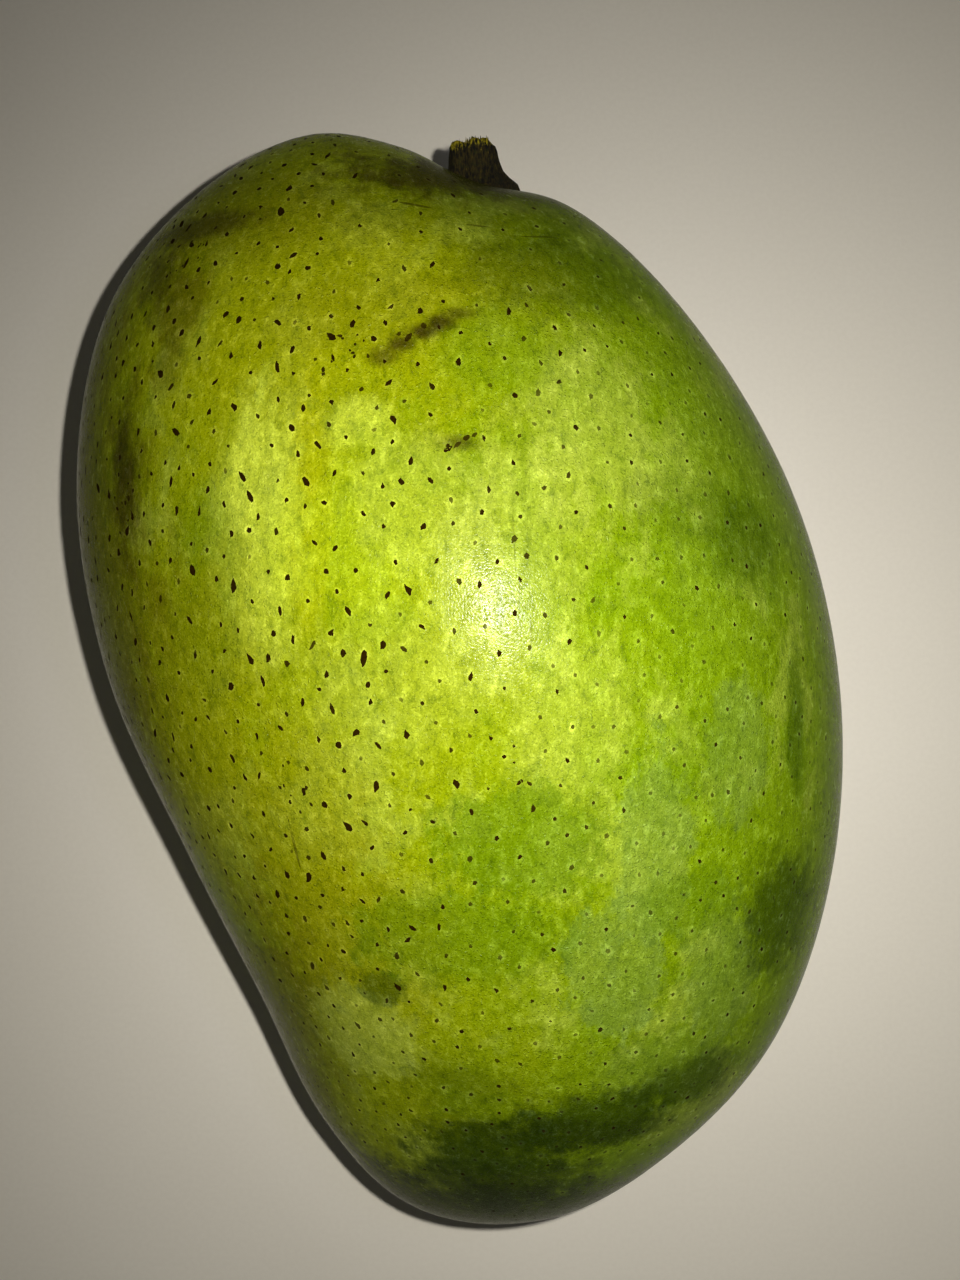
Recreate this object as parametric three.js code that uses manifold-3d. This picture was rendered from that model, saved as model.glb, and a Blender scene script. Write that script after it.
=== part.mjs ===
import * as THREE from "three";
import { mergeVertices } from "three/addons/utils/BufferGeometryUtils.js";
import Module from "manifold-3d";

// A whole mango lying on its flat side, with the torn stub of its stem. All lengths are in millimetres.
// +Y points to the stem end, +X to the straighter back of the fruit and +Z straight up.

// Outline of the fruit seen from above, as x and y. It begins at the stem scar, runs down the full belly
// side to the apex and comes back up the other side.
const TOP_OUTLINE = [
  [0.0, 47.6], [-9.0, 50.9], [-18.0, 52.3], [-29.2, 47.5], [-39.8, 36.4], [-44.4, 18.4], [-42.2, -2.0],
  [-34.6, -21.0], [-26.9, -37.9], [-20.1, -53.6], [-11.2, -64.9], [1.0, -69.4], [13.6, -65.8],
  [25.4, -55.9], [35.3, -42.5], [40.6, -22.8], [40.0, -2.0], [33.8, 17.2], [22.2, 33.8], [10.0, 44.2],
];
const TOP_APEX = 11;

// Outline seen from the side, as y and z. It begins at the stem scar, runs over the top to the apex and
// comes back underneath.
const SIDE_OUTLINE = [
  [47.6, 15.0], [43.5, 23.0], [36.0, 29.5], [24.0, 34.7], [8.0, 37.2], [-9.0, 36.3], [-26.0, 32.4],
  [-43.0, 25.4], [-56.2, 16.6], [-65.5, 6.4], [-69.4, -3.2], [-67.2, -12.8], [-58.0, -22.5],
  [-44.5, -29.8], [-27.0, -35.0], [-10.0, -37.2], [6.0, -36.5], [22.0, -32.6], [35.5, -24.6],
  [45.0, -12.5], [49.4, 2.0],
];
const SIDE_APEX = 10;

// How much fuller than an ellipse the cross sections are.
const FULLNESS = 0.02;

// Shallow hollow around the stem.
const HOLLOW_DEPTH = 1.2;
const HOLLOW_RADIUS = 5.0;

// Flat spot that the fruit rests on, as the depth taken off its lowest point.
const FLAT_DEPTH = 0.6;

const RINGS = 56;
const RING_SIDES = 72;

// Stub of the stem: radius and height above the scar, from the buried foot to the torn top.
const STUB_PROFILE = [
  [0.0, -2.5], [4.3, -2.5], [4.5, -0.6], [4.2, 0.2], [3.5, 0.9], [2.95, 1.6], [2.65, 2.5], [2.5, 3.5],
  [2.4, 4.4], [1.9, 4.6], [1.3, 4.1], [0.6, 3.8], [0.0, 3.7],
];
const STUB_SIDES = 36;
const STUB_DIRECTION = new THREE.Vector3(-0.11, 0.92, 0.37).normalize();
const RIB_DEPTH = 0.06;
const TORN_FROM = 3.6;
const TORN_DEPTH = 0.35;

// Splinters on the torn top: angle round the stub in degrees, distance from its middle, length, width.
const SPLINTERS = [
  [20, 1.7, 1.5, 0.9], [75, 1.5, 1.1, 0.8], [140, 1.8, 1.7, 0.9], [205, 1.6, 1.2, 0.8], [262, 1.7, 1.6, 1.0],
  [318, 1.4, 1.2, 0.7], [110, 0.6, 1.3, 0.7],
];
const SPLINTER_FOOT = 3.3;
const SPLINTER_LEAN = 0.16;

// Clearance between the stub and the fruit.
const GAP = 0.3;

const SKIN = { color: "#889c12", roughness: 0.42, metalness: 0 };
const BARK = { color: "#4b3d1f", roughness: 0.88, metalness: 0 };

const wasm = await Module();
wasm.setup();

// The two halves of a closed outline, both from the stem scar to the apex, by share of their length.
function outlineHalves(points, apex) {
  const steps = 100;
  const curve = new THREE.CatmullRomCurve3(points, true, "centripetal");
  curve.arcLengthDivisions = steps * points.length;
  const lengths = curve.getLengths();
  const apexShare = lengths[steps * apex] / lengths[steps * points.length];
  return {
    first: (share) => curve.getPointAt(share * apexShare),
    second: (share) => curve.getPointAt(1 - share * (1 - apexShare)),
  };
}

const fromAbove = outlineHalves(TOP_OUTLINE.map(([x, y]) => new THREE.Vector3(x, y, 0)), TOP_APEX);
const fromSide = outlineHalves(SIDE_OUTLINE.map(([y, z]) => new THREE.Vector3(0, y, z)), SIDE_APEX);

function toSolid(geometry) {
  const bare = geometry.clone();
  bare.deleteAttribute("normal");
  bare.deleteAttribute("uv");
  const merged = mergeVertices(bare, 1e-3);
  const mesh = new wasm.Mesh({
    numProp: 3,
    vertProperties: new Float32Array(merged.attributes.position.array),
    triVerts: new Uint32Array(merged.index.array),
  });
  return new wasm.Manifold(mesh);
}

function toMesh(solid, name, finish) {
  const data = solid.getMesh();
  const geometry = new THREE.BufferGeometry();
  geometry.setAttribute("position", new THREE.BufferAttribute(new Float32Array(data.vertProperties), 3));
  geometry.setIndex(new THREE.BufferAttribute(new Uint32Array(data.triVerts), 1));
  geometry.computeVertexNormals();
  const material = new THREE.MeshStandardMaterial(finish);
  material.name = name;
  const mesh = new THREE.Mesh(geometry, material);
  mesh.name = name;
  return mesh;
}

// Position of the stem scar before the hollow is pressed in.
const SCAR = new THREE.Vector3(TOP_OUTLINE[0][0], TOP_OUTLINE[0][1], SIDE_OUTLINE[0][1]);

// Level direction out of the fruit at the stem scar.
function scarNormal() {
  const [x0, y0] = TOP_OUTLINE[TOP_OUTLINE.length - 1];
  const [x1, y1] = TOP_OUTLINE[1];
  return new THREE.Vector3(y1 - y0, x0 - x1, 0).normalize();
}

// A point of the skin: share from the stem (0) to the apex (1), and the angle round the ring. Each ring
// passes through the belly, the back, and the upper and lower flanks.
function skinPoint(share, angle) {
  const belly = fromAbove.first(share);
  const back = fromAbove.second(share);
  const upper = fromSide.first(share);
  const lower = fromSide.second(share);
  const middle = belly.clone().add(back).multiplyScalar(0.5);
  const half = back.clone().sub(belly).multiplyScalar(0.5);
  const flank = Math.sin(angle) > 0 ? upper : lower;
  const swell = 1 + FULLNESS * Math.sin(2 * angle) ** 2;
  return new THREE.Vector3(
    middle.x + half.x * Math.cos(angle) * swell,
    middle.y + half.y * Math.cos(angle) * swell + (flank.y - middle.y) * Math.sin(angle) ** 2,
    (upper.z + lower.z) / 2 + (upper.z - lower.z) / 2 * Math.sin(angle) * swell,
  );
}

function pressHollow(point) {
  const distance = point.distanceTo(SCAR) / HOLLOW_RADIUS;
  return point.addScaledVector(scarNormal(), -HOLLOW_DEPTH * Math.exp(-(distance ** 2)));
}

// The fruit as a ball whose rings are set on the cross sections, closer together at both ends.
function fruitGeometry(grow) {
  const ball = new THREE.SphereGeometry(1, RING_SIDES, RINGS);
  const position = ball.attributes.position;
  for (let ring = 0; ring <= RINGS; ring += 1) {
    const along = ring / RINGS;
    const share = along - Math.sin(2 * Math.PI * along) / (4 * Math.PI);
    for (let side = 0; side <= RING_SIDES; side += 1) {
      const angle = Math.PI - 2 * Math.PI * (side % RING_SIDES) / RING_SIDES;
      const point = pressHollow(skinPoint(share, angle));
      position.setXYZ(ring * (RING_SIDES + 1) + side, point.x, point.y, point.z);
    }
  }
  ball.deleteAttribute("normal");
  ball.deleteAttribute("uv");
  const skin = mergeVertices(ball, 1e-3);
  skin.computeVertexNormals();
  const outward = skin.attributes.normal;
  const grown = skin.attributes.position;
  for (let i = 0; i < grown.count; i += 1) {
    grown.setXYZ(
      i,
      grown.getX(i) + grow * outward.getX(i),
      grown.getY(i) + grow * outward.getY(i),
      grown.getZ(i) + grow * outward.getZ(i),
    );
  }
  return skin;
}

// Ribs down the side of the stub and an uneven torn edge on its top.
function roughenStub(geometry) {
  const position = geometry.attributes.position;
  for (let i = 0; i < position.count; i += 1) {
    const x = position.getX(i);
    const y = position.getY(i);
    const z = position.getZ(i);
    const angle = Math.atan2(x, z);
    const ribs = 0.6 * Math.sin(5 * angle + 0.4) + 0.4 * Math.sin(9 * angle + 2.1);
    const radius = Math.hypot(x, z);
    const torn = Math.max(0, y - TORN_FROM) * Math.min(1, radius / 1.5);
    const edge = Math.sin(3 * angle + 1.0) + 0.7 * Math.sin(7 * angle + 0.3);
    const widen = 1 + RIB_DEPTH * ribs;
    position.setXYZ(i, x * widen, y + TORN_DEPTH * torn * edge, z * widen);
  }
  return geometry;
}

function splinterGeometry([degrees, distance, length, width]) {
  const cone = new THREE.ConeGeometry(width / 2, length, 6);
  const angle = THREE.MathUtils.degToRad(degrees);
  cone.translate(0, length / 2, 0);
  cone.rotateZ(-SPLINTER_LEAN * distance);
  cone.rotateY(-angle);
  cone.translate(distance * Math.cos(angle), SPLINTER_FOOT, distance * Math.sin(angle));
  return cone;
}

function stubSolid() {
  const lathe = new THREE.LatheGeometry(
    STUB_PROFILE.map(([radius, height]) => new THREE.Vector2(radius, height)),
    STUB_SIDES,
  );
  const turn = new THREE.Quaternion().setFromUnitVectors(new THREE.Vector3(0, 1, 0), STUB_DIRECTION);
  const seat = pressHollow(SCAR.clone());
  const place = (geometry) => geometry.applyQuaternion(turn).translate(seat.x, seat.y, seat.z);
  let stub = toSolid(place(roughenStub(lathe)));
  for (const splinter of SPLINTERS) {
    stub = stub.add(toSolid(place(splinterGeometry(splinter))));
  }
  return stub.subtract(toSolid(fruitGeometry(GAP)));
}

function fruitSolid() {
  const whole = toSolid(fruitGeometry(0));
  const lowest = whole.boundingBox().min[2];
  return whole.trimByPlane([0, 0, 1], lowest + FLAT_DEPTH);
}

const fruit = fruitSolid();
const stem = stubSolid();

// The origin is on the table, under the middle of the fruit's bounding box.
const box = fruit.boundingBox();
const shift = [-(box.min[0] + box.max[0]) / 2, -(box.min[1] + box.max[1]) / 2, -box.min[2]];

const mango = new THREE.Group();
mango.name = "mango";
mango.add(toMesh(fruit.translate(shift), "fruit", SKIN));
mango.add(toMesh(stem.translate(shift), "stem", BARK));

export default mango;
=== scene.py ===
"""A whole green mango lying on a pale table, seen from above, with the torn stub of its stem."""
import math
import random

import bpy
import numpy as np
from mathutils import Matrix, Vector
from mathutils.bvhtree import BVHTree


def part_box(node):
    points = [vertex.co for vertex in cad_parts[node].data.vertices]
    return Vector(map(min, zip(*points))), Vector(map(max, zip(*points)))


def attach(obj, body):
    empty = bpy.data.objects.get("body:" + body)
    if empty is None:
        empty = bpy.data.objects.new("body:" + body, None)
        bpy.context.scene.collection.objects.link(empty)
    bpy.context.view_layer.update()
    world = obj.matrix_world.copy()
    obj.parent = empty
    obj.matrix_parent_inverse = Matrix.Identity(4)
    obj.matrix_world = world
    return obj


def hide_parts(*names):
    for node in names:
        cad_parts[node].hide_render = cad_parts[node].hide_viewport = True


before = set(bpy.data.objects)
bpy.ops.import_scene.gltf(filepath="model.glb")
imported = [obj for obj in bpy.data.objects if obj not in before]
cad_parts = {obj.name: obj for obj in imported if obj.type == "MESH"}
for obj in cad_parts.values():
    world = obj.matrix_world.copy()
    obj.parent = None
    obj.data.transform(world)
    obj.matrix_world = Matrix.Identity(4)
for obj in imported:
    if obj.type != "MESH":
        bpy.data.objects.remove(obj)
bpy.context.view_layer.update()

MM = 0.001

# Outline from above, x and y in millimetres: stem scar, belly side, apex, back.
TOP_OUTLINE = [
    (0.0, 47.6), (-9.0, 50.9), (-18.0, 52.3), (-29.2, 47.5), (-39.8, 36.4), (-44.4, 18.4), (-42.2, -2.0),
    (-34.6, -21.0), (-26.9, -37.9), (-20.1, -53.6), (-11.2, -64.9), (1.0, -69.4), (13.6, -65.8),
    (25.4, -55.9), (35.3, -42.5), (40.6, -22.8), (40.0, -2.0), (33.8, 17.2), (22.2, 33.8), (10.0, 44.2),
]
TOP_APEX = 11

# Outline from the side, y and z: stem scar, over the top to the apex, and back underneath.
SIDE_OUTLINE = [
    (47.6, 15.0), (43.5, 23.0), (36.0, 29.5), (24.0, 34.7), (8.0, 37.2), (-9.0, 36.3), (-26.0, 32.4),
    (-43.0, 25.4), (-56.2, 16.6), (-65.5, 6.4), (-69.4, -3.2), (-67.2, -12.8), (-58.0, -22.5),
    (-44.5, -29.8), (-27.0, -35.0), (-10.0, -37.2), (6.0, -36.5), (22.0, -32.6), (35.5, -24.6),
    (45.0, -12.5), (49.4, 2.0),
]
SIDE_APEX = 10

# Points that the smooth curve has for each point of an outline.
OUTLINE_STEPS = 200

# How much fuller than an ellipse the cross sections are.
FULLNESS = 0.02

# Shallow hollow round the stem scar, in millimetres.
HOLLOW_DEPTH = 1.2
HOLLOW_RADIUS = 5.0

# Flat spot that the fruit rests on, as the depth taken off its lowest point.
FLAT_DEPTH = 0.6

# Rings from the stem to the apex, and points round each ring.
RINGS = 290
RING_SIDES = 300

# Keeps the finer skin inside the box of the coarser CAD fruit.
TRIM = 0.9985

# Stub of the stem: radius and height above the scar, from the buried foot to the torn top.
STUB_PROFILE = [
    (0.0, -2.5), (4.3, -2.5), (4.5, -0.6), (4.2, 0.2), (3.5, 0.9), (2.95, 1.6), (2.65, 2.5), (2.5, 3.5),
    (2.35, 4.1), (2.0, 4.5), (1.4, 4.6), (0.7, 4.5), (0.0, 4.4),
]
STUB_DIRECTION = Vector((-0.11, 0.92, 0.37)).normalized()
STUB_SIDES = 120
STUB_STEPS = 6
TORN_FROM = 3.7

# Torn fibres on top of the stub, in millimetres.
FIBRES = 110
FIBRE_SPREAD = 2.2
FIBRE_FOOT = 3.6
FIBRE_RISE = (0.9, 1.7)
FIBRE_WIDTH = (0.14, 0.38)
FIBRE_STEPS = 5
FIBRE_SIDES = 5


def linear(colour):
    """Linear RGBA of a colour written as red, green and blue from 0 to 255."""
    parts = [c / 255 for c in colour]
    return [c / 12.92 if c <= 0.04045 else ((c + 0.055) / 1.055) ** 2.4 for c in parts] + [1.0]


# Shape of the fruit

def smooth_outline(points):
    """Dense points of a closed centripetal Catmull-Rom curve."""
    points = np.array(points)
    count = len(points)
    t = np.linspace(0, 1, OUTLINE_STEPS, endpoint=False)[:, None]
    dense = []
    for i in range(count):
        p0, p1, p2, p3 = (points[(i + k - 1) % count] for k in range(4))
        d0, d1, d2 = (np.linalg.norm(b - a) ** 0.5 for a, b in ((p0, p1), (p1, p2), (p2, p3)))
        t1 = ((p1 - p0) / d0 - (p2 - p0) / (d0 + d1) + (p2 - p1) / d1) * d1
        t2 = ((p2 - p1) / d1 - (p3 - p1) / (d1 + d2) + (p3 - p2) / d2) * d1
        square = -3 * p1 + 3 * p2 - 2 * t1 - t2
        cube = 2 * p1 - 2 * p2 + t1 + t2
        dense.append(p1 + t1 * t + square * t ** 2 + cube * t ** 3)
    return np.concatenate(dense)


def outline_halves(points, apex):
    """The two halves of an outline, from the stem scar to the apex, as functions of the share of length."""
    dense = smooth_outline(points)
    turn = apex * OUTLINE_STEPS
    first = dense[:turn + 1]
    second = np.concatenate([dense[turn:], dense[:1]])[::-1]

    def by_share(half):
        run = np.concatenate([[0], np.cumsum(np.linalg.norm(np.diff(half, axis=0), axis=1))])
        return lambda share: np.stack([np.interp(share * run[-1], run, half[:, k]) for k in range(2)], -1)

    return by_share(first), by_share(second)


def press_hollow(points):
    """The shallow hollow round the stem scar."""
    scar = np.array([*TOP_OUTLINE[0], SIDE_OUTLINE[0][1]])
    x0, y0 = TOP_OUTLINE[-1]
    x1, y1 = TOP_OUTLINE[1]
    normal = np.array([y1 - y0, x0 - x1, 0.0])
    normal /= np.linalg.norm(normal)
    far = np.linalg.norm(points - scar, axis=-1, keepdims=True) / HOLLOW_RADIUS
    return points - normal * HOLLOW_DEPTH * np.exp(-far ** 2)


def fruit_grid():
    """Rings of skin points in millimetres, before they are set in the frame."""
    belly_at, back_at = outline_halves(TOP_OUTLINE, TOP_APEX)
    upper_at, lower_at = outline_halves(SIDE_OUTLINE, SIDE_APEX)
    along = np.linspace(0, 1, RINGS + 1)
    # the rings lie closer together at both ends
    share = along - np.sin(2 * np.pi * along) / (4 * np.pi)
    angle = np.linspace(0, 2 * np.pi, RING_SIDES, endpoint=False)[None, :]
    belly, back, upper, lower = (at(share) for at in (belly_at, back_at, upper_at, lower_at))
    middle = (belly + back) / 2
    half = (back - belly) / 2
    swell = 1 + FULLNESS * np.sin(2 * angle) ** 2
    flank = np.where(np.sin(angle) > 0, upper[:, :1], lower[:, :1])
    x = middle[:, :1] + half[:, :1] * np.cos(angle) * swell
    y = middle[:, 1:] + half[:, 1:] * np.cos(angle) * swell + (flank - middle[:, 1:]) * np.sin(angle) ** 2
    z = (upper[:, 1:] + lower[:, 1:]) / 2 + (upper[:, 1:] - lower[:, 1:]) / 2 * np.sin(angle) * swell
    return press_hollow(np.stack([x, y, z], -1))


def new_object(name, vertices, faces, material, smooth=True):
    """A mesh of one material, linked to the scene."""
    mesh = bpy.data.meshes.new(name)
    mesh.from_pydata([tuple(v) for v in vertices], [], faces)
    mesh.validate()
    mesh.update()
    mesh.polygons.foreach_set("use_smooth", [smooth] * len(mesh.polygons))
    obj = bpy.data.objects.new(name, mesh)
    bpy.context.scene.collection.objects.link(obj)
    mesh.materials.append(material)
    return obj


def frame_shift(grid):
    """Moves formula millimetres to frame metres, so that the skin fills the CAD fruit's box."""
    low, high = (np.array(corner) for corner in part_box("fruit"))
    points = grid.reshape(-1, 3)
    lowest = points[:, 2].min() + FLAT_DEPTH
    middle = np.array([*(points.min(0) + points.max(0))[:2] / 2, lowest])
    floor_middle = np.array([(low[0] + high[0]) / 2, (low[1] + high[1]) / 2, low[2]])
    return lambda p: (np.asarray(p, float) - middle) * MM * TRIM + floor_middle


def fruit_mesh(grid, to_frame):
    """Vertices and faces of the skin, with its flat spot."""
    points = to_frame(grid)
    points[..., 2] = np.maximum(points[..., 2], 0.0)
    vertices = [points[0, 0], *points[1:-1].reshape(-1, 3), points[-1, 0]]
    last = len(vertices) - 1
    tail = last - RING_SIDES
    faces = []
    for side in range(RING_SIDES):
        after = (side + 1) % RING_SIDES
        faces.append((0, 1 + after, 1 + side))
        faces.append((last, tail + side, tail + after))
    for ring in range(RINGS - 2):
        near = 1 + ring * RING_SIDES
        far = near + RING_SIDES
        for side in range(RING_SIDES):
            after = (side + 1) % RING_SIDES
            faces.append((near + side, near + after, far + after, far + side))
    return vertices, faces


# Material helpers

class Graph:
    """Short ways to add shader nodes."""

    def __init__(self, owner):
        owner.use_nodes = True
        self.tree = owner.node_tree
        self.tree.nodes.clear()

    def node(self, kind, **settings):
        made = self.tree.nodes.new(kind)
        for key, value in settings.items():
            setattr(made, key, value)
        return made

    def feed(self, socket, value):
        if isinstance(value, bpy.types.NodeSocket):
            self.tree.links.new(value, socket)
        elif value is not None:
            socket.default_value = value

    def math(self, operation, a, b=None):
        made = self.node("ShaderNodeMath", operation=operation)
        self.feed(made.inputs[0], a)
        self.feed(made.inputs[1], b)
        return made.outputs[0]

    def vector(self, operation, a, b=None):
        made = self.node("ShaderNodeVectorMath", operation=operation)
        self.feed(made.inputs[0], a)
        self.feed(made.inputs[1], b)
        return made.outputs["Value" if operation == "LENGTH" else "Vector"]

    def noise(self, place, scale, detail=3.0, rough=0.5, distortion=0.0):
        made = self.node("ShaderNodeTexNoise")
        self.feed(made.inputs["Vector"], place)
        made.inputs["Scale"].default_value = scale
        made.inputs["Detail"].default_value = detail
        made.inputs["Roughness"].default_value = rough
        made.inputs["Distortion"].default_value = distortion
        return made.outputs[0]

    def range(self, value, low, high, to_low=0.0, to_high=1.0, kind="SMOOTHSTEP"):
        made = self.node("ShaderNodeMapRange", interpolation_type=kind)
        self.feed(made.inputs["Value"], value)
        made.inputs["From Min"].default_value = low
        made.inputs["From Max"].default_value = high
        made.inputs["To Min"].default_value = to_low
        made.inputs["To Max"].default_value = to_high
        return made.outputs["Result"]

    def mix(self, share, a, b):
        made = self.node("ShaderNodeMix", data_type="RGBA")
        self.feed(made.inputs["Factor"], share)
        self.feed(made.inputs[6], a)
        self.feed(made.inputs[7], b)
        return made.outputs[2]

    def scaled(self, place, factors):
        return self.vector("MULTIPLY", place, factors)

    def lighter(self, colour):
        """A paler, slightly bluer form of a colour, in keeping with every patch."""
        return self.vector("ADD", self.scaled(colour, (1.42, 1.38, 1.5)), (0.008, 0.01, 0.014))

    def darker(self, colour):
        """A deeper form of a colour, in keeping with every patch."""
        return self.scaled(colour, (0.42, 0.5, 0.45))

    def attribute(self, name):
        return self.node("ShaderNodeAttribute", attribute_name=name).outputs["Fac"]

    def place_mm(self):
        """Position on the object in millimetres of the frame."""
        return self.scaled(self.node("ShaderNodeTexCoord").outputs["Object"], (1000, 1000, 1000))

    def finish(self, colour, roughness, height, bump, specular=0.5):
        """Surface with its relief, which is bump metres high where height is 1."""
        shader = self.node("ShaderNodeBsdfPrincipled")
        self.feed(shader.inputs["Base Color"], colour)
        self.feed(shader.inputs["Roughness"], roughness)
        self.feed(shader.inputs["Specular IOR Level"], specular)
        lift = self.node("ShaderNodeBump")
        lift.inputs["Distance"].default_value = bump
        self.feed(lift.inputs["Height"], height)
        self.tree.links.new(lift.outputs[0], shader.inputs["Normal"])
        output = self.node("ShaderNodeOutputMaterial")
        self.tree.links.new(shader.outputs[0], output.inputs[0])


# Colours of the skin, as seen in even light
YELLOW_GREEN = linear((118, 128, 3))
GREEN = linear((101, 122, 4))
RUBBED_GREEN = linear((84, 106, 3))
DEEP_GREEN = linear((46, 62, 2))
DARK_GREEN = linear((28, 38, 2))
OLIVE = linear((76, 72, 3))
GOLD = linear((136, 140, 3))
DULL_GOLD = linear((117, 120, 3))
BLOOM = linear((142, 153, 62))
COOL_BLOOM = linear((101, 120, 42))
BROWN = linear((44, 32, 5))
PALE_BLOOM = linear((168, 179, 66))
FRESH = linear((134, 149, 18))

# Across the fruit in millimetres, where the yellow-green of the belly ends and the back's green is full.
BELLY_EDGE = -8.0
BACK_EDGE = 22.0

# Factors that draw a noise out along the fruit, from a little to a lot.
CLOUD_STRETCH = (1.0, 0.8, 1.0)
CELL_STRETCH = (1.0, 0.62, 1.0)
RAGGED_STRETCH = (1.0, 0.6, 1.0)
STREAK_STRETCH = (1.0, 0.06, 1.0)

# How fine each noise is; a larger number is finer.
WANDER_SCALE = 0.07
CLOUD_SCALE = 0.085
RAGGED_SCALE = 0.5
STREAK_SCALE = 1.1
CELL_SCALE = 1.2
THREAD_SCALE = 2.2
POINT_SCALE = 4.6
GRAIN_SCALE = 6.0

# Relief of the skin in metres, its shine, and its roughness where smooth and where uneven.
SKIN_RELIEF = 0.000024
SKIN_SHINE = 0.04
SKIN_ROUGHNESS = (0.17, 0.3)

# Broad patches of colour: middle, reach along x, y and z, colour, strength, softness of the edge.
PATCHES = [
    # belly side
    ((-14, 36, 68), (17, 12, 22), GOLD, 0.55, 0.5),
    ((-7, 36, 69), (9, 4, 9), DULL_GOLD, 0.5, 0.5),
    ((-25, 38.5, 64), (3.5, 4, 8), OLIVE, 0.6, 0.5),
    ((-12.4, 20, 72), (2.2, 11, 9), GOLD, 0.7, 0.2),
    ((-16.5, 19, 71), (3.8, 11, 12), PALE_BLOOM, 0.62, 0.4),
    ((-8.4, 26.5, 72.5), (3.4, 2.6, 8), PALE_BLOOM, 0.6, 0.35),
    ((-8, 17, 72), (6, 8, 9), FRESH, 0.6, 0.6),
    ((-3, 20, 73), (6, 6, 9), BLOOM, 0.4, 0.35),
    ((-22, 12, 68), (3, 9, 9), RUBBED_GREEN, 0.5, 0.3),
    ((-24, 0, 64), (8, 15, 14), DULL_GOLD, 0.6, 0.5),
    ((-13, -8, 67), (6, 12, 12), DULL_GOLD, 0.5, 0.4),
    ((-10, -18, 64), (8, 10, 14), DULL_GOLD, 0.7, 0.5),
    ((-36, 14, 52), (8.5, 34, 26), OLIVE, 0.58, 0.5),
    ((-22, 48, 60), (11, 6, 12), OLIVE, 0.4, 0.6),
    ((-20, -34, 50), (8, 18, 20), OLIVE, 0.55, 0.5),
    ((-9, -28.5, 61), (5, 5, 10), BLOOM, 0.65, 0.3),
    ((-7, -23, 65), (2.0, 1.8, 5), DEEP_GREEN, 0.6, 0.25),
    # back
    ((11.5, 27, 71), (6.5, 8.5, 12), BLOOM, 0.5, 0.35),
    ((5, 17, 72), (6, 10, 9), BLOOM, 0.45, 0.4),
    ((3, 33, 71), (5, 4, 8), GREEN, 0.6, 0.5),
    ((9.5, 1, 71), (5, 8, 9), BLOOM, 0.4, 0.4),
    ((-6, 4.5, 72), (7.5, 6, 9), BLOOM, 0.36, 0.5),
    ((24, 22, 64), (8, 12, 14), COOL_BLOOM, 0.3, 0.5),
    ((16.6, -9, 70), (3.4, 9, 9), COOL_BLOOM, 0.85, 0.15),
    ((13.4, -21, 66), (4.4, 7, 9), COOL_BLOOM, 0.85, 0.15),
    ((24.5, -1.5, 67), (3.2, 6, 9), COOL_BLOOM, 0.75, 0.2),
    ((24, -21.5, 62), (4, 7.5, 9), COOL_BLOOM, 0.75, 0.25),
    ((19, -31, 61), (7, 4, 10), COOL_BLOOM, 0.5, 0.3),
    ((21, -15, 66), (4.5, 3, 8), RUBBED_GREEN, 0.6, 0.3),
    ((20.5, -2, 69), (3.5, 4.5, 8), RUBBED_GREEN, 0.4, 0.5),
    ((5, -9, 71), (8, 5.2, 10), RUBBED_GREEN, 0.7, 0.2),
    ((0, -17, 68), (9, 5, 10), RUBBED_GREEN, 0.6, 0.3),
    ((25.5, 17.5, 65), (4.5, 4.5, 8), RUBBED_GREEN, 0.75, 0.5),
    ((25.5, 17.5, 65), (3, 3, 8), DEEP_GREEN, 0.35, 0.6),
    ((19, 20, 68), (5, 3, 9), DEEP_GREEN, 0.2, 0.5),
    ((30, -17, 60), (5, 6, 12), DEEP_GREEN, 0.75, 0.4),
    ((31, 0, 60), (1.3, 7, 8), RUBBED_GREEN, 0.85, 0.4),
    ((31, 0, 60), (1.0, 6, 8), DEEP_GREEN, 0.3, 0.5),
    # stem end: deep green laid where the skin slopes down into the hollow round the stem, as painted shade
    ((9, 41.5, 66), (9, 4.2, 10), DEEP_GREEN, 0.48, 0.45),
    ((5, 49.5, 61), (13, 5, 12), DEEP_GREEN, 0.42, 0.6),
    # apex
    ((3, -41, 58), (8, 5, 12), DEEP_GREEN, 0.75, 0.45),
    ((13, -37.5, 60), (8, 4, 12), DEEP_GREEN, 0.8, 0.4),
    ((21.5, -34, 60), (5, 3.5, 9), DEEP_GREEN, 0.75, 0.45),
    ((10, -39, 59), (9, 2.5, 9), DARK_GREEN, 0.4, 0.4),
    ((0, -33, 62), (5, 3, 9), DEEP_GREEN, 0.35, 0.5),
    ((3, -46, 55), (11, 7, 12), DEEP_GREEN, 0.75, 0.4),
    ((4, -54, 48), (17, 9, 22), DARK_GREEN, 0.75, 0.5),
    # stains; the first two, round the stem's foot, are real stain with painted shade of the hollow under the
    # stub
    ((-1, 52, 57), (9, 3.0, 8), BROWN, 0.75, 0.45),
    ((-12, 54.5, 50), (6, 2.5, 8), BROWN, 0.35, 0.6),
    ((-30.5, 25, 64), (2.0, 7, 7), BROWN, 0.75, 0.7),
    ((-26, 33, 65), (2.0, 3, 6), BROWN, 0.35, 0.6),
    ((-24, 47, 61), (6, 1.6, 6), BROWN, 0.6, 0.5),
    ((-28, 41, 60), (2.2, 4, 6), BROWN, 0.6, 0.5),
    ((-6.4, 32.2, 71), (1.3, 0.9, 4), BROWN, 0.6, 0.7),
    ((-4.8, 33.4, 71), (1.3, 0.8, 4), BROWN, 0.8, 0.7),
    ((-3.2, 34.5, 71), (1.3, 0.8, 4), BROWN, 0.85, 0.7),
    ((-1.6, 35.5, 71), (1.3, 0.7, 4), BROWN, 0.8, 0.7),
    ((0.0, 36.4, 71), (1.3, 0.6, 4), BROWN, 0.6, 0.7),
    ((0.1, 24.8, 73), (1.5, 0.7, 3), BROWN, 0.6, 0.8),
]


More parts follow.
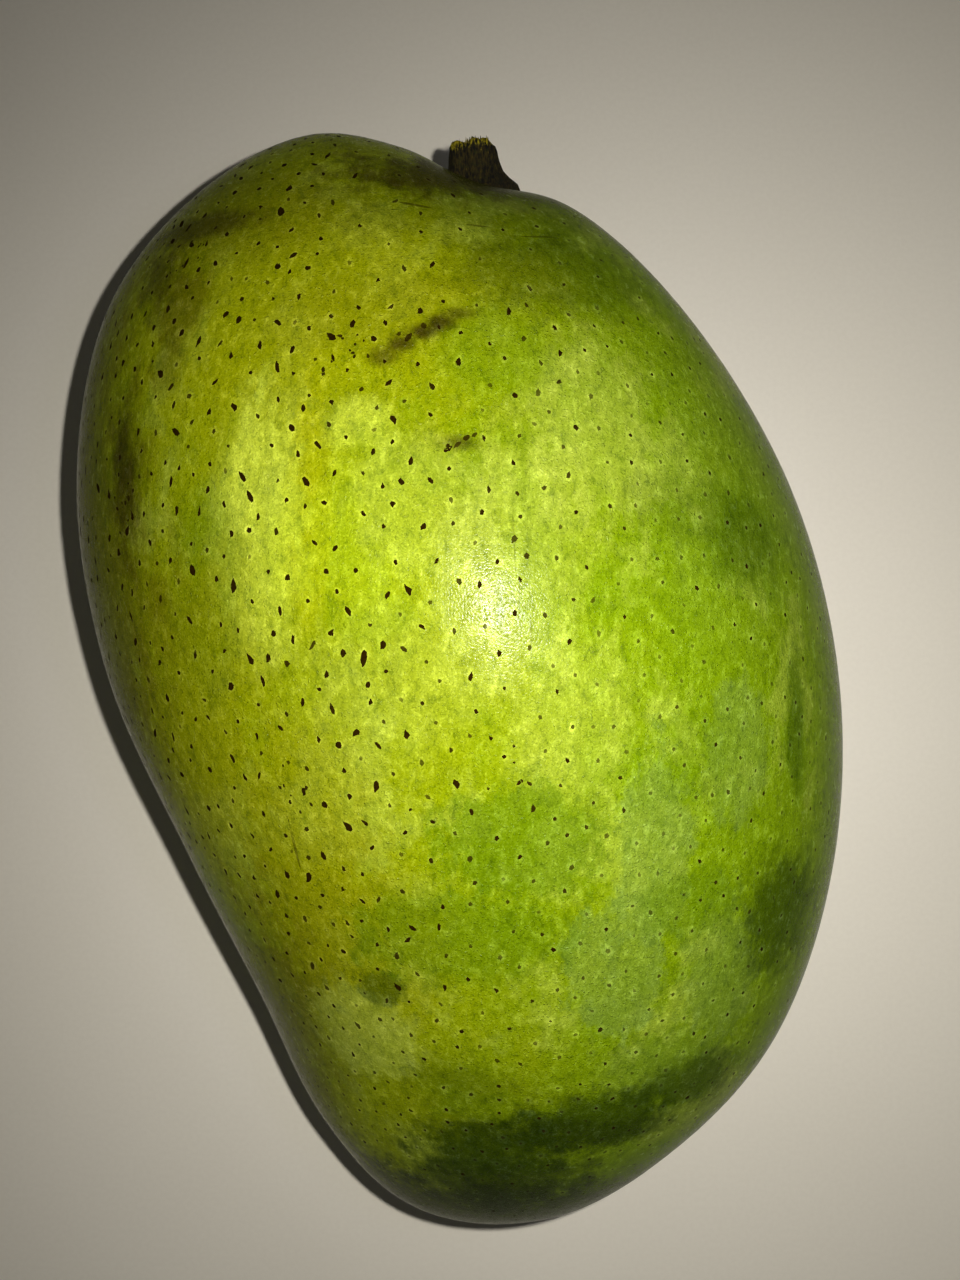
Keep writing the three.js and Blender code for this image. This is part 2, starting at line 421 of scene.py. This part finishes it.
def thread_like(g, noise, width):
    """1 on the thin lines where a noise crosses its middle value, 0 away from them."""
    return g.range(g.math("ABSOLUTE", g.math("SUBTRACT", noise, 0.5)), 0.0, width, 1.0, 0.0)


def centred(g, noise, swing):
    """A noise moved to swing about 0."""
    return g.math("MULTIPLY", g.math("SUBTRACT", noise, 0.5), swing)


def patched_colour(g, place, wander, ragged):
    """Yellow-green belly and greener back, with the broad patches laid over them."""
    split = g.node("ShaderNodeSeparateXYZ")
    g.feed(split.inputs[0], place)
    shift = g.math("ADD", centred(g, wander, 34.0), centred(g, ragged, 10.0))
    across = g.math("ADD", split.outputs[0], shift)
    colour = g.mix(g.range(across, BELLY_EDGE, BACK_EDGE), YELLOW_GREEN, GREEN)
    cloud = g.noise(g.scaled(place, CLOUD_STRETCH), CLOUD_SCALE, 6.0, 0.66)
    colour = g.mix(g.range(cloud, 0.5, 0.6, 0.0, 0.38), colour, BLOOM)
    colour = g.mix(g.range(cloud, 0.36, 0.44, 0.35, 0.0), colour, GREEN)
    # frays the edges of the patches, and thins the bloom
    blur = g.math("ADD", centred(g, wander, 1.2), centred(g, ragged, 1.8))
    thin = g.range(ragged, 0.3, 0.6, 1.1, 0.65)
    for middle, reach, shade, strength, softness in PATCHES:
        offset = g.vector("SUBTRACT", place, middle)
        distance = g.vector("LENGTH", g.vector("DIVIDE", offset, reach))
        share = g.range(g.math("ADD", distance, blur), 1.0 - softness, 1.0 + softness, strength, 0.0)
        if shade in (BLOOM, COOL_BLOOM, PALE_BLOOM):
            share = g.math("MULTIPLY", share, thin)
        colour = g.mix(share, colour, shade)
    return colour


def skin_colour(g, place):
    """Colour, roughness and relief of the skin at a place given in millimetres."""
    wander = g.noise(g.scaled(place, CLOUD_STRETCH), WANDER_SCALE, 4.0, 0.6)
    ragged = g.noise(g.scaled(place, RAGGED_STRETCH), RAGGED_SCALE, 7.0, 0.72)
    colour = patched_colour(g, place, wander, ragged)
    # lengthwise streaks, mottled cells, green threads and fine grain
    streak = g.noise(g.scaled(place, STREAK_STRETCH), STREAK_SCALE, 3.0, 0.6)
    colour = g.mix(g.range(streak, 0.48, 0.72, 0.0, 0.13), colour, DEEP_GREEN)
    drawn = g.scaled(place, CELL_STRETCH)
    cells = g.noise(drawn, CELL_SCALE, 5.0, 0.68, 0.4)
    colour = g.mix(g.range(cells, 0.5, 0.68, 0.0, 0.75), colour, g.lighter(colour))
    colour = g.mix(g.range(cells, 0.32, 0.48, 0.5, 0.0), colour, g.darker(colour))
    threads = thread_like(g, g.noise(drawn, THREAD_SCALE, 3.0, 0.6, 0.6), 0.04)
    colour = g.mix(g.math("MULTIPLY", threads, 0.34), colour, g.darker(colour))
    grain = g.noise(place, GRAIN_SCALE, 3.0, 0.65)
    colour = g.mix(g.range(grain, 0.52, 0.72, 0.0, 0.8), colour, g.lighter(colour))
    colour = g.mix(g.range(grain, 0.3, 0.47, 0.42, 0.0), colour, g.darker(colour))
    # roughness, and a relief of pits, scattered points and streaks
    uneven = g.math("ADD", cells, g.math("MULTIPLY", streak, 0.5))
    roughness = g.range(uneven, 0.5, 1.0, *SKIN_ROUGHNESS, "LINEAR")
    pits = g.noise(place, GRAIN_SCALE, 1.0, 0.5)
    points = g.range(g.noise(place, POINT_SCALE, 0.0), 0.62, 0.78, 0.0, 1.6)
    relief = g.math("ADD", g.math("ADD", pits, points), g.math("MULTIPLY", streak, 0.5))
    return colour, roughness, relief


def skin_material():
    material = bpy.data.materials.new("mango_skin")
    g = Graph(material)
    colour, roughness, relief = skin_colour(g, g.place_mm())
    g.finish(colour, roughness, relief, SKIN_RELIEF, SKIN_SHINE)
    return material


def mark_material():
    """Skin with a dark middle and a pale ring, for the pores and scars."""
    material = bpy.data.materials.new("mango_marks")
    g = Graph(material)
    place = g.place_mm()
    colour, roughness, relief = skin_colour(g, place)
    fleck = g.noise(place, 6.0, 2.0, 0.6)
    core_colour = g.mix(fleck, linear((16, 11, 2)), linear((52, 37, 4)))
    ring = g.math("MULTIPLY", g.attribute("ring"), g.attribute("pale"))
    colour = g.mix(g.range(ring, 0.0, 1.0, 0.0, 0.68), colour, g.lighter(colour))
    core = g.math("ADD", g.attribute("core"), centred(g, fleck, 0.5))
    core = g.math("MULTIPLY", g.range(core, 0.42, 0.6), g.attribute("dark"))
    colour = g.mix(core, colour, core_colour)
    g.finish(colour, roughness, relief, SKIN_RELIEF, g.range(core, 0.0, 1.0, SKIN_SHINE, 0.0))
    return material


def bark_material():
    """Dark fibrous bark with greenish spots, paler and yellower where it is torn."""
    material = bpy.data.materials.new("mango_bark")
    g = Graph(material)
    place = g.place_mm()
    fibre = g.noise(g.scaled(place, (3.0, 0.8, 2.4)), 1.6, 4.0, 0.65)
    spots = g.noise(place, 2.2, 3.0, 0.6)
    colour = g.mix(g.range(fibre, 0.35, 0.68), linear((12, 11, 2)), linear((56, 48, 10)))
    colour = g.mix(g.range(spots, 0.52, 0.7, 0.0, 0.6), colour, linear((34, 42, 6)))
    torn = g.attribute("torn")
    pale = g.mix(g.range(fibre, 0.35, 0.65), linear((58, 50, 7)), linear((158, 146, 28)))
    frayed = g.math("ADD", torn, centred(g, fibre, 2.4))
    colour = g.mix(g.range(frayed, 0.35, 0.9, 0.0, 0.85), colour, pale)
    g.finish(colour, 0.9, g.math("ADD", fibre, g.math("MULTIPLY", spots, 0.6)), 0.00025, 0.1)
    return material


def table_material():
    """Plain pale surface with a faint grain."""
    material = bpy.data.materials.new("table")
    g = Graph(material)
    place = g.place_mm()
    cloud = g.noise(place, 0.012, 3.0, 0.5)
    grain = g.noise(place, 1.4, 2.0, 0.5)
    colour = g.mix(cloud, linear((236, 230, 216)), linear((246, 241, 228)))
    colour = g.mix(g.range(grain, 0.3, 0.7, 0.0, 0.08), colour, linear((214, 207, 192)))
    g.finish(colour, 0.6, grain, 0.00001)
    return material


# Pores and scars

# Rings of a mark from the inside out: how far out each lies, its share of the dark core and of the pale ring,
# and its lift above the skin in millimetres. The middle has all of the core and a little of the ring.
MARK_RINGS = (0.34, 0.52, 0.78, 1.0)
MARK_CORE = (1.0, 0.0, 0.0, 0.0)
MARK_RING = (0.8, 0.9, 0.5, 0.0)
MARK_LIFT = (0.008, 0.008, 0.006, -0.004)
MIDDLE_RING = 0.35

# Depth of a mark's foot below the skin, and how far its pale ring reaches past its core, in millimetres: a
# fixed part and a part of the core's width.
FOOT_DEPTH = 0.3
RING_REACH = 0.36
RING_GROWTH = 0.5


class Marks:
    """Many small patches that lie on the skin, gathered into one mesh."""

    def __init__(self, skin):
        mesh = skin.data
        self.points = [v.co.copy() for v in mesh.vertices]
        self.skin_normals = [v.normal.copy() for v in mesh.vertices]
        self.polygons = [tuple(p.vertices) for p in mesh.polygons]
        self.tree = BVHTree.FromPolygons(self.points, self.polygons)
        self.vertices = []
        self.faces = []
        self.normals = []
        self.data = {"core": [], "ring": [], "dark": [], "pale": []}

    def skin_at(self, point):
        """Nearest place on the skin, and the skin's smooth normal there."""
        place, _, index, _ = self.tree.find_nearest(point)
        normal = Vector((0, 0, 0))
        for corner in self.polygons[index]:
            weight = 1 / ((self.points[corner] - place).length_squared + 1e-10)
            normal += self.skin_normals[corner] * weight
        return place, normal.normalized()

    def vertex(self, point, lift, core, ring, dark, pale):
        """Adds the skin's nearest place to the point, raised by lift millimetres."""
        place, normal = self.skin_at(point)
        self.vertices.append(place + normal * lift * MM)
        self.normals.append(normal)
        for key, value in (("core", core), ("ring", ring), ("dark", dark), ("pale", pale)):
            self.data[key].append(value)

    def add(self, point, length, width, turn, dark, pale, rng, spread, sides=12, ragged=0.3):
        """A patch of length and width in millimetres, turned from the fruit's length by turn degrees."""
        place, normal = self.skin_at(point)
        along = (Matrix.Rotation(math.radians(turn), 3, normal) @ Vector((0, 1, 0)))
        along = (along - normal * along.dot(normal)).normalized()
        across = normal.cross(along)
        start = len(self.vertices)
        self.vertex(place, MARK_LIFT[0], 1.0, MIDDLE_RING, dark, pale)
        shape = [1 + rng.uniform(-ragged, ragged) for _ in range(sides)]
        shape[0] += rng.uniform(0, 1.6 * ragged)
        shape[sides // 2] += rng.uniform(0, ragged)
        margin = (RING_REACH + RING_GROWTH * width) * spread
        for index, share in enumerate(MARK_RINGS):
            for side in range(sides):
                angle = 2 * math.pi * side / sides
                if index == 0:
                    reach_l, reach_w = 0.42 * length * shape[side], 0.42 * width * shape[side]
                else:
                    grow = margin * (share - MARK_RINGS[0]) / (1 - MARK_RINGS[0])
                    keep = 1 + (shape[side] - 1) * (1 - share)
                    reach_l, reach_w = (0.5 * length + grow) * keep, (0.5 * width + grow) * keep
                offset = along * reach_l * math.cos(angle) + across * reach_w * math.sin(angle)
                spot = place + offset * MM
                self.vertex(spot, MARK_LIFT[index], MARK_CORE[index], MARK_RING[index], dark, pale)
        self.vertex(place, -FOOT_DEPTH, 0.0, 0.0, dark, pale)
        foot = len(self.vertices) - 1
        rings = len(MARK_RINGS)
        for side in range(sides):
            after = (side + 1) % sides
            first = start + 1
            self.faces.append((start, first + side, first + after))
            for ring in range(rings - 1):
                a = first + ring * sides
                b = a + sides
                self.faces.append((a + side, b + side, b + after, a + after))
            outer = first + (rings - 1) * sides
            self.faces.append((foot, outer + after, outer + side))

    def build(self, name, material):
        obj = new_object(name, self.vertices, self.faces, material)
        obj.data.normals_split_custom_set_from_vertices(self.normals)
        for key, values in self.data.items():
            layer = obj.data.attributes.new(key, "FLOAT", "POINT")
            layer.data.foreach_set("value", values)
        return obj


# Marks worth setting one by one: place, length, width, turn, and how dark and how pale they are.
CHOSEN_MARKS = [
    ((-0.9, 24.2, 72.9), 0.9, 0.4, -55, 1.0, 0.2),
    ((-0.1, 24.6, 72.9), 0.8, 0.3, -50, 0.8, 0.2),
    ((0.6, 25.2, 72.9), 0.7, 0.4, -60, 0.9, 0.2),
    ((1.3, 25.5, 72.9), 0.5, 0.3, -50, 0.8, 0.2),
    # Three thin dark lines across the stem end: painted shade of small creases that the skin does not model.
    ((-4.2, 47.6, 64.4), 3.0, 0.28, 80, 0.6, 0.0),
    ((1.6, 46.2, 65.2), 2.6, 0.22, 88, 0.5, 0.0),
    ((7.0, 45.8, 64.2), 3.6, 0.22, 100, 0.5, 0.0),
    ((-14.8, -10.0, 68.2), 4.5, 0.3, 2, 0.5, 0.0),
    ((4.5, 16.5, 73.2), 4.8, 0.14, 2, 0.25, 0.0),
    ((4.9, 11.5, 73.4), 4.8, 0.14, -1, 0.2, 0.0),
    ((5.9, 9.0, 73.4), 4.5, 0.12, 1, 0.2, 0.0),
    ((-4.3, 34.0, 71.0), 0.8, 0.5, -30, 0.9, 0.1),
    ((-3.0, 35.2, 70.8), 0.6, 0.45, 10, 0.8, 0.1),
]

# Places where small pores crowd together: place, reach and count.
CLUSTERS = [
    ((-10.0, 32.5, 71.5), 2.4, 12),
    ((-24.5, 44.0, 62.0), 3.0, 10),
    ((-14.0, -4.0, 69.0), 2.2, 7),
    ((-30.0, 20.0, 64.0), 2.5, 8),
    ((5.0, -2.0, 72.0), 1.6, 4),
]

# How far the pale ring of a scar or of a crowded pore spreads, as a share of the usual reach.
SMALL_SPREAD = 0.4

# Gaps between the scattered pores in millimetres, and how they change on the belly and by the stem.
PORE_GAP = 1.6
PORE_GAP_SWING = 2.5
BELLY_CROWD = 0.85
STEM_CROWD = 1.5

# The belly lies below BELLY_X, and the stem end above STEM_X and STEM_Y.
BELLY_X = -4 * MM
STEM_X = -12 * MM
STEM_Y = 38 * MM

# No pore lies nearer than this to the stem scar, or lower than this above the floor.
SCAR_CLEARANCE = 5.5 * MM
FLOOR_CLEARANCE = 0.4 * MM


def scatter_pores(points):
    """Seeded places for the pores, closest together on the belly side and furthest apart by the stem."""
    rng = random.Random(41)
    order = list(range(len(points)))
    rng.shuffle(order)
    # a little more than the widest gap, so that only the nearest cells matter
    cell = 6.2 * MM
    taken = {}
    kept = []
    for index in order:
        p = points[index]
        key = tuple(int(math.floor(c / cell)) for c in p)
        crowd = BELLY_CROWD if p.x < BELLY_X else 1.0
        if p.y > STEM_Y and p.x > STEM_X:
            crowd = STEM_CROWD
        gap = (PORE_GAP + PORE_GAP_SWING * rng.random()) * crowd * MM
        near = (
            q
            for dx in (-1, 0, 1) for dy in (-1, 0, 1) for dz in (-1, 0, 1)
            for q in taken.get((key[0] + dx, key[1] + dy, key[2] + dz), ())
        )
        if any((q - p).length < gap for q in near):
            continue
        taken.setdefault(key, []).append(p)
        kept.append(p)
    return kept


def make_marks(fruit, scar, material):
    """Scars, crowded pores and scattered pores, boldest on the belly side and towards the stem."""
    rng = random.Random(7)
    marks = Marks(fruit)
    for place, length, width, turn, dark, pale in CHOSEN_MARKS:
        marks.add(Vector(place) * MM, length, width, turn, dark, pale, rng, SMALL_SPREAD)
    for place, reach, count in CLUSTERS:
        for _ in range(count):
            offset = Vector((rng.gauss(0, 0.5), rng.gauss(0, 0.5), 0)) * reach
            size = rng.uniform(0.14, 0.3)
            spot = (Vector(place) + offset) * MM
            length = size * rng.uniform(1, 1.8)
            turn = rng.gauss(0, 30)
            marks.add(spot, length, size, turn, 0.95, 0.2, rng, SMALL_SPREAD, sides=7)
    for point in scatter_pores(marks.points):
        if (point - scar).length < SCAR_CLEARANCE or point.z < FLOOR_CLEARANCE:
            continue
        # bold goes from 0 on the far back and at the apex to 1 on the belly towards the stem
        belly = min(1.0, max(0.0, (14 - point.x / MM) / 22))
        stemward = min(1.0, max(0.0, (point.y / MM + 45) / 40))
        bold = belly * stemward
        if rng.random() < 0.18:
            bold *= 0.3
        size = 0.19 + 0.08 * bold + 0.24 * rng.random() ** 3 * (0.4 + 0.8 * bold)
        stretch = 1.0 + rng.random() ** 2 * (0.4 + 1.3 * bold)
        turn = rng.gauss(8, 22)
        dark = min(1.0, 0.62 + 0.25 * bold + 1.2 * size + rng.uniform(-0.4, 0.15))
        pale = min(1.0, max(0.1, 0.75 - 0.3 * bold + rng.uniform(-0.5, 0.4)))
        spread = 1.3 - 0.7 * bold
        sides = 7 if bold > 0.5 else 5
        marks.add(point, size * stretch, size, turn, dark, pale, rng, spread, sides, ragged=0.5)
    return marks.build("pores", material)


# Stem

def stub_point(radius, height, angle):
    """A point of the stub's bark, before it is turned along the stem."""
    ribs = 0.6 * math.sin(5 * angle + 0.4) + 0.4 * math.sin(9 * angle + 2.1)
    fine = 0.35 * math.sin(23 * angle + 1.3 * height + 0.7) + 0.25 * math.sin(37 * angle - 2.0 * height)
    torn = max(0.0, height - 3.4) * min(1.0, radius / 1.5)
    edge = math.sin(3 * angle + 1.0) + 0.7 * math.sin(7 * angle + 0.3) + 0.35 * math.sin(19 * angle)
    foot = max(0.0, 1.0 - height / 2.4) * max(0.0, -math.sin(angle))
    wide = 0.97 * (1 + 0.06 * ribs + 0.03 * fine + 0.12 * foot) * radius
    return Vector((wide * math.sin(angle), height + 0.2 * torn * edge, wide * math.cos(angle)))


def dense_profile():
    """The stub's profile with more points between its own."""
    profile = []
    for (r0, h0), (r1, h1) in zip(STUB_PROFILE, STUB_PROFILE[1:]):
        for k in range(STUB_STEPS):
            share = k / STUB_STEPS
            profile.append((r0 + (r1 - r0) * share, h0 + (h1 - h0) * share))
    profile.append(STUB_PROFILE[-1])
    return profile


def add_fibre(vertices, faces, torn, foot, tip, width, bend):
    """A thin torn fibre that narrows from its foot to its tip."""
    start = len(vertices)
    way = tip - foot
    side_way = way.orthogonal().normalized()
    other = way.cross(side_way).normalized()
    for k in range(FIBRE_STEPS):
        share = k / FIBRE_STEPS
        middle = foot + way * share + side_way * bend * math.sin(math.pi * share)
        thick = width * (1 - share) ** 0.7 / 2
        for side in range(FIBRE_SIDES):
            angle = 2 * math.pi * side / FIBRE_SIDES
            vertices.append(middle + side_way * thick * math.cos(angle) + other * thick * math.sin(angle))
            torn.append(0.5 + 0.5 * share)
    vertices.append(tip)
    torn.append(1.0)
    for k in range(FIBRE_STEPS - 1):
        a = start + k * FIBRE_SIDES
        b = a + FIBRE_SIDES
        for side in range(FIBRE_SIDES):
            after = (side + 1) % FIBRE_SIDES
            faces.append((a + side, a + after, b + after, b + side))
    end = start + FIBRE_STEPS * FIBRE_SIDES
    top = end - FIBRE_SIDES
    for side in range(FIBRE_SIDES):
        faces.append((top + side, top + (side + 1) % FIBRE_SIDES, end))
    faces.append(tuple(start + side for side in reversed(range(FIBRE_SIDES))))


def make_stem(to_frame, material):
    """The ribbed stub with its torn fibres, turned along the stem and set on the scar."""
    rng = random.Random(3)
    profile = dense_profile()
    vertices, faces, torn = [], [], []

    def add_point(radius, height, angle):
        vertices.append(stub_point(radius, height, angle))
        torn.append(max(0.0, min(1.0, height - TORN_FROM)))

    for radius, height in profile[1:-1]:
        for side in range(STUB_SIDES):
            add_point(radius, height, 2 * math.pi * side / STUB_SIDES)
    below, above = len(vertices), len(vertices) + 1
    for radius, height in (profile[0], profile[-1]):
        add_point(radius, height, 0.0)
    top = below - STUB_SIDES
    for side in range(STUB_SIDES):
        after = (side + 1) % STUB_SIDES
        faces.append((below, after, side))
        faces.append((top + side, top + after, above))
        for a in range(0, top, STUB_SIDES):
            b = a + STUB_SIDES
            faces.append((a + side, a + after, b + after, b + side))
    for _ in range(FIBRES):
        angle = rng.uniform(0, 2 * math.pi)
        reach = FIBRE_SPREAD * math.sqrt(rng.random())
        foot = Vector((reach * math.cos(angle), FIBRE_FOOT, reach * math.sin(angle)))
        rise = rng.uniform(*FIBRE_RISE) - 0.25 * reach / FIBRE_SPREAD
        lean = rng.uniform(-0.15, 0.2)
        tip = foot + Vector((lean * math.cos(angle), rise, lean * math.sin(angle)))
        width = rng.uniform(*FIBRE_WIDTH)
        bend = rng.uniform(-0.12, 0.12)
        add_fibre(vertices, faces, torn, foot, tip, width, bend)
    turn = Vector((0, 1, 0)).rotation_difference(STUB_DIRECTION).to_matrix()
    scar = np.array([[*TOP_OUTLINE[0], SIDE_OUTLINE[0][1]]])
    seat = Vector(press_hollow(scar)[0])
    placed = [Vector(to_frame(turn @ v + seat)) for v in vertices]
    stem = new_object("stem_stub", placed, faces, material)
    layer = stem.data.attributes.new("torn", "FLOAT", "POINT")
    layer.data.foreach_set("value", torn)
    return stem


# Light, floor and camera

# Lens and sensor are in millimetres, and the other lengths in metres.
LENS = 28.1
SENSOR_WIDTH = 36
CAMERA_HEIGHT = 155 * MM
NEAREST_SEEN = 5 * MM
FLOOR_REACH = 0.9

# Beside the camera: a small key light for the narrow shadow, and a light for the highlight alone.
KEY_OFFSET = Vector((0.0053, 0.0024, 0.0))
KEY_AIM_OFFSET = Vector((0.06, -0.05, 0.0))
KEY_SIZE = 0.0018
KEY_POWER = 0.215
KEY_COLOUR = (1.0, 0.98, 0.94)
GLINT_OFFSET = Vector((0.0155, 0.005, 0.0))
GLINT_SIZE = 0.009
GLINT_POWER = 0.4
GLINT_COLOUR = (0.83, 0.79, 1.0)

# Large weak light from above, to one side.
SOFT_PLACE = (0.08, -0.06, 0.5)
SOFT_AIM = (0, 0, 0.02)
SOFT_SIZE = 0.5
SOFT_POWER = 0.05
SOFT_COLOUR = (1.0, 0.97, 0.92)

# Colour and strength of the surroundings near the horizon and overhead.
WORLD_COLOUR = (0.92, 0.9, 0.84, 1.0)
WORLD_LOW = 0.7
WORLD_HIGH = 0.012

VIEW_GAMMA = 0.85
VIEW_EXPOSURE = 0.08


def area_light(name, place, aim, size, power, colour):
    """A round light at a place, turned towards its aim and unseen by the camera."""
    data = bpy.data.lights.new(name, "AREA")
    data.shape = "DISK"
    data.size = size
    data.energy = power
    data.color = colour
    lamp = bpy.data.objects.new(name, data)
    lamp.location = place
    lamp.rotation_euler = (Vector(aim) - Vector(place)).to_track_quat("-Z", "Y").to_euler()
    lamp.visible_camera = False
    bpy.context.scene.collection.objects.link(lamp)
    return lamp


def make_stage(eye):
    """Floor, lights and surroundings."""
    corners = [(x * FLOOR_REACH, y * FLOOR_REACH, 0) for x, y in ((-1, -1), (1, -1), (1, 1), (-1, 1))]
    floor = new_object("floor", corners, [(0, 1, 2, 3)], table_material(), smooth=False)
    below = Vector((eye.x, eye.y, 0))
    key = area_light("key", eye + KEY_OFFSET, below + KEY_AIM_OFFSET, KEY_SIZE, KEY_POWER, KEY_COLOUR)
    key.visible_glossy = False
    glint = area_light("glint", eye + GLINT_OFFSET, below, GLINT_SIZE, GLINT_POWER, GLINT_COLOUR)
    glint.visible_diffuse = False
    soft = area_light("soft", SOFT_PLACE, SOFT_AIM, SOFT_SIZE, SOFT_POWER, SOFT_COLOUR)
    soft.visible_glossy = False
    make_world()


def make_world():
    """Studio surroundings, paler near the horizon than overhead."""
    world = bpy.data.worlds.new("studio")
    bpy.context.scene.world = world
    world.cycles_visibility.glossy = False
    g = Graph(world)
    split = g.node("ShaderNodeSeparateXYZ")
    g.feed(split.inputs[0], g.node("ShaderNodeTexCoord").outputs["Generated"])
    background = g.node("ShaderNodeBackground")
    background.inputs["Color"].default_value = WORLD_COLOUR
    g.feed(background.inputs["Strength"], g.range(split.outputs[2], 0.02, 0.34, WORLD_LOW, WORLD_HIGH))
    g.tree.links.new(background.outputs[0], g.node("ShaderNodeOutputWorld").inputs[0])


def make_camera(eye):
    """Camera that looks straight down."""
    data = bpy.data.cameras.new("camera")
    data.lens = LENS
    data.sensor_width = SENSOR_WIDTH
    data.clip_start = NEAREST_SEEN
    camera = bpy.data.objects.new("camera", data)
    camera.location = eye
    bpy.context.scene.collection.objects.link(camera)
    bpy.context.scene.camera = camera


def main():
    view = bpy.context.scene.view_settings
    view.view_transform = "Standard"
    view.gamma = VIEW_GAMMA
    view.exposure = VIEW_EXPOSURE
    grid = fruit_grid()
    to_frame = frame_shift(grid)
    vertices, faces = fruit_mesh(grid, to_frame)
    fruit = new_object("fruit_skin", vertices, faces, skin_material())
    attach(fruit, "root")
    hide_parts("fruit")

    scar = Vector(to_frame([*TOP_OUTLINE[0], SIDE_OUTLINE[0][1]]))
    pores = make_marks(fruit, scar, mark_material())
    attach(pores, "root")

    stem = make_stem(to_frame, bark_material())
    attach(stem, "root")
    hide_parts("stem")

    eye = Vector(to_frame([0.0, 0.0, 0.0]))
    eye.z = CAMERA_HEIGHT
    make_stage(eye)
    make_camera(eye)


main()
